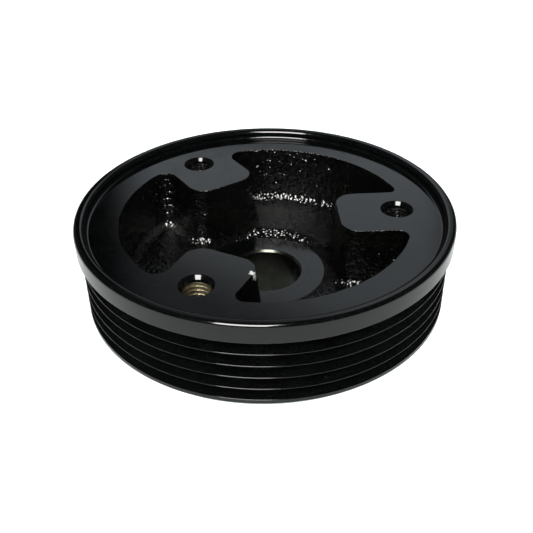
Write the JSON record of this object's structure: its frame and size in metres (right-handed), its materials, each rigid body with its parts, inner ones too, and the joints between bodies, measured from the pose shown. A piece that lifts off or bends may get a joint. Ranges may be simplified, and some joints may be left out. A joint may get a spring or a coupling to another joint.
{
  "type": "v belt pulley",
  "caption": "Black-coated cast-iron poly-V belt pulley: flanged ribbed rim, deep lobed bowl with threaded inserts, and a bushed centre bore.",
  "frame": {"origin": "centre of the hub's back face, on the pulley's axis, at the level it stands on", "axes": "+Z along the pulley's axis, out of the bowl; +X within 3 degrees of the first insert"},
  "size_m": [0.104, 0.104, 0.0373],
  "materials": {
    "black_coated_iron": "gloss black coat, satin on machined faces, rough sand-cast inside the bowl",
    "bare_steel": "machined, slightly oily",
    "golden_steel": "golden passivated, cut thread"
  },
  "bodies": {
    "root": {"pulley_casting": "black_coated_iron", "bore_bush": "bare_steel", "threaded_insert_1": "golden_steel", "threaded_insert_2": "golden_steel", "threaded_insert_3": "golden_steel"}
  },
  "joints": []
}
